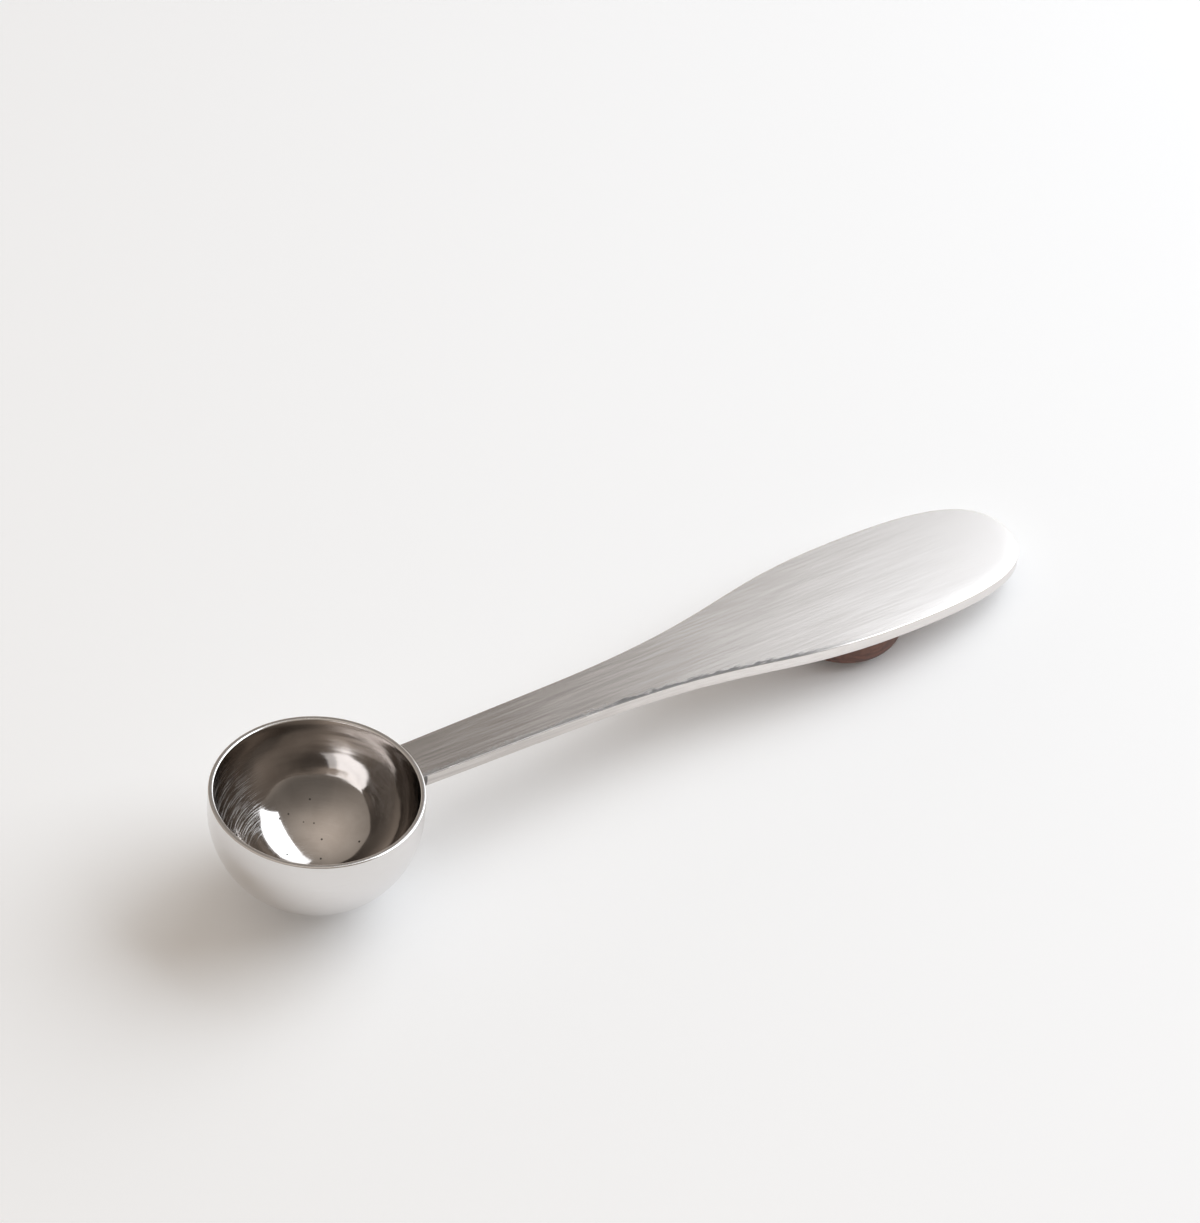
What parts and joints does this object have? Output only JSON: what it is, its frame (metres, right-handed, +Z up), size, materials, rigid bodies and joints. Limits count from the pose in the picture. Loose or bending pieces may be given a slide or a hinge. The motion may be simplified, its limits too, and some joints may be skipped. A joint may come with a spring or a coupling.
{
  "type": "measuring spoon",
  "caption": "Coffee measuring spoon with a deep polished steel bowl, a flat brushed handle that widens into an oval paddle, and a round wooden foot that props up the handle.",
  "frame": {"origin": "on the table below the middle of the spoon's length and width, as the spoon rests", "axes": "+X from the bowl along the handle to the tip, +Z up from the table"},
  "size_m": [0.1712, 0.039, 0.0254],
  "materials": {
    "bowl_steel": "polished inside and out, with fine circular scratches",
    "handle_steel": "brushed lengthwise, satin",
    "weld_steel": "brushed weld metal",
    "foot_wood": "turned hardwood, oiled, matte"
  },
  "bodies": {
    "root": {"bowl": "bowl_steel", "handle": "handle_steel", "weld_bead": "weld_steel", "foot_stud": "weld_steel", "foot": "foot_wood"}
  },
  "joints": []
}
